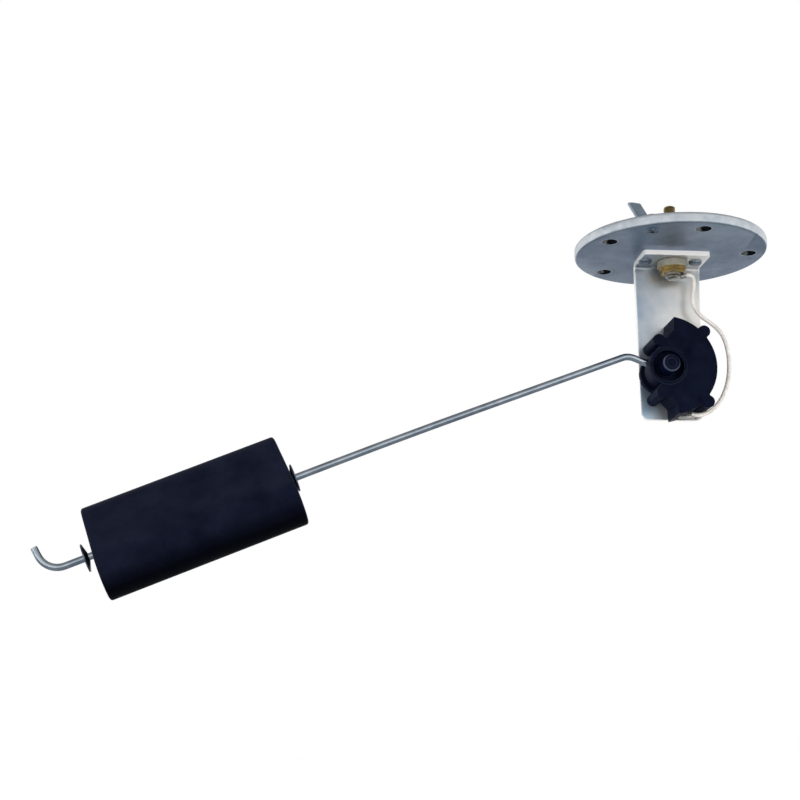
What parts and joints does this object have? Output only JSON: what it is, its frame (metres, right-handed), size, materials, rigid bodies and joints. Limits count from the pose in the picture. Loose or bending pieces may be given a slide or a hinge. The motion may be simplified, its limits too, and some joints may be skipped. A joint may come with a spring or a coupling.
{
  "type": "fuel level sender",
  "caption": "Tank fuel level sender: a round bolt-on flange carries a folded bracket, a black rheostat housing and a bent wire arm with a foam float.",
  "frame": {"origin": "centre of the flange's seat face, where it meets the tank", "axes": "+Z out of the tank along the flange's axis, +X to the right with the float arm leaving towards -X, +Y away from the viewer who faces the housing"},
  "size_m": [0.2467, 0.066, 0.1397],
  "materials": {
    "zinc_plated_steel": "dull blue-grey zinc plate, blasted, with a brighter rim",
    "bright_sheet_steel": "bright zinc-plated sheet, smooth",
    "rivet_steel": "plated rivet, satin",
    "stud_brass": "turned brass, threaded",
    "natural_nylon": "natural moulded nylon, slightly translucent",
    "tinned_copper": "hot-tinned, soft sheen",
    "solder": "reflowed solder, satin",
    "lead_insulation": "off-white soft insulation",
    "black_acetal": "moulded black acetal, fine spark texture",
    "screw_steel": "plated thread-forming screw",
    "former_board": "phenolic board, cut",
    "resistance_wire": "bright nickel-chrome wire, close wound",
    "spring_brass": "spring brass leaf",
    "spring_steel": "spring steel",
    "arm_wire": "drawn and plated steel wire",
    "retainer_steel": "pressed spring steel",
    "nitrile_foam": "closed-cell nitrile foam, moulded skin with a satin sheen"
  },
  "bodies": {
    "sender": {"mounting_flange": "zinc_plated_steel", "bracket": "bright_sheet_steel", "bracket_rivets": "rivet_steel", "earth_tab": "zinc_plated_steel", "earth_tab_rivet": "rivet_steel", "terminal_stud": "stud_brass", "upper_insulator": "natural_nylon", "lower_insulator": "natural_nylon", "upper_stud_washer": "stud_brass", "fixing_nut": "stud_brass", "terminal_lock_washer": "spring_steel", "terminal_nut": "stud_brass", "lower_stud_washer": "stud_brass", "lower_stud_nut": "stud_brass", "solder_eyelet": "tinned_copper", "signal_lead": "lead_insulation", "strip_solder": "solder", "terminal_strip": "tinned_copper", "housing_base": "black_acetal", "housing_cover": "black_acetal", "cover_screws": "screw_steel", "case_rivets": "rivet_steel", "resistor_former": "former_board", "resistor_winding": "resistance_wire", "earth_spring_washer": "spring_steel"},
    "float_arm": {"rotor": "black_acetal", "wiper_blade": "spring_brass", "float_rod": "arm_wire", "inner_retainer": "retainer_steel", "outer_retainer": "retainer_steel"},
    "float": {"float": "nitrile_foam"}
  },
  "joints": [
    {"name": "arm_swing", "type": "hinge", "parent": "sender", "child": "float_arm", "pos_m": [-0.0042, 0, -0.0414], "axis": [0, 1, 0], "range_deg": [-64, 25]},
    {"name": "float_spin", "type": "hinge", "parent": "float_arm", "child": "float", "pos_m": [-0.16199, 0.00298, -0.09301], "axis": [-0.9277, 0.014, -0.373], "continuous": true}
  ]
}
